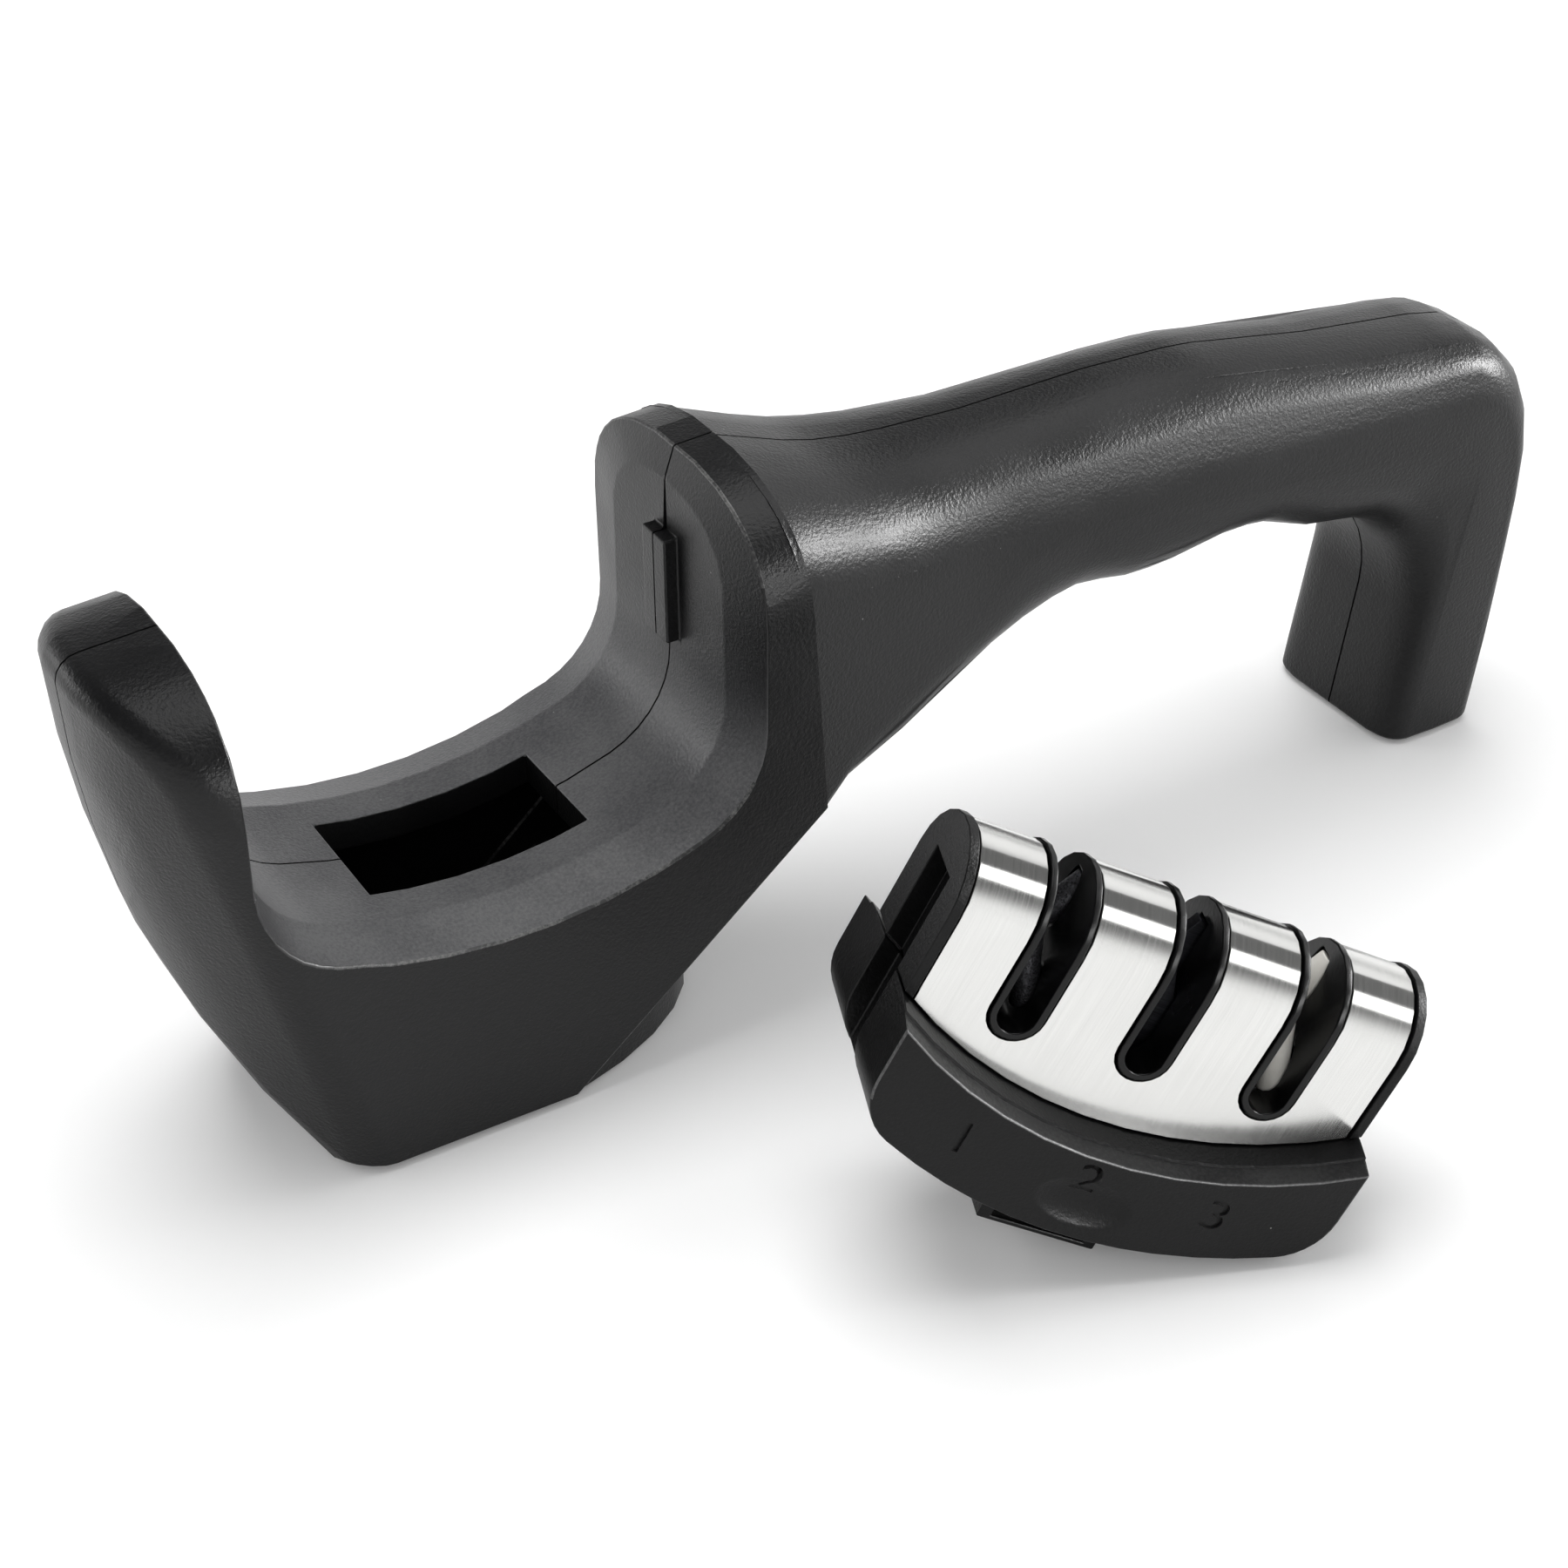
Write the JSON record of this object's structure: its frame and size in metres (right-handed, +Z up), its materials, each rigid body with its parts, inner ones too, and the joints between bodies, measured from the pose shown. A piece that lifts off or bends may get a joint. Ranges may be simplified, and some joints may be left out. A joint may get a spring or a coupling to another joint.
{
  "type": "knife sharpener",
  "caption": "Hand-held pull-through knife sharpener: a looped black grip with an open cradle and, lifted out of it, a steel-covered sharpening head with crossed rods and blades in its slots.",
  "frame": {"origin": "on the table, at the underside of the front rubber pad, under the middle of the cradle and on the plane where the two shells meet", "axes": "+X from the cradle back along the grip to the rear leg, +Y to the side away from the lifted-out head, +Z up"},
  "size_m": [0.2136, 0.1163, 0.0773],
  "materials": {
    "body_plastic": "fine moulded grain",
    "head_plastic": "fine moulded grain, a little darker",
    "pad_rubber": "soft matte",
    "stainless": "brushed across the row of slots",
    "diamond_coat": "dark grit coating",
    "carbide": "ground dark carbide",
    "ceramic": "white fired ceramic",
    "screw_steel": "zinc plated"
  },
  "bodies": {
    "body": {"near_shell": "body_plastic", "far_shell": "body_plastic", "front_pad": "pad_rubber", "rear_pad": "pad_rubber"},
    "head": {"head_base": "head_plastic", "head_frame": "head_plastic", "steel_cover": "stainless", "slot_liner_1": "head_plastic", "slot_liner_2": "head_plastic", "slot_liner_3": "head_plastic", "diamond_rod_near": "diamond_coat", "diamond_rod_far": "diamond_coat", "carbide_blade_near": "carbide", "carbide_blade_far": "carbide", "ceramic_rod_near": "ceramic", "ceramic_rod_far": "ceramic", "base_screw_left": "screw_steel", "base_screw_right": "screw_steel"}
  },
  "joints": [
    {"name": "head_lift", "type": "slide", "parent": "body", "child": "head", "axis": [0, 0, 1], "range_m": [0, 0.06]}
  ]
}
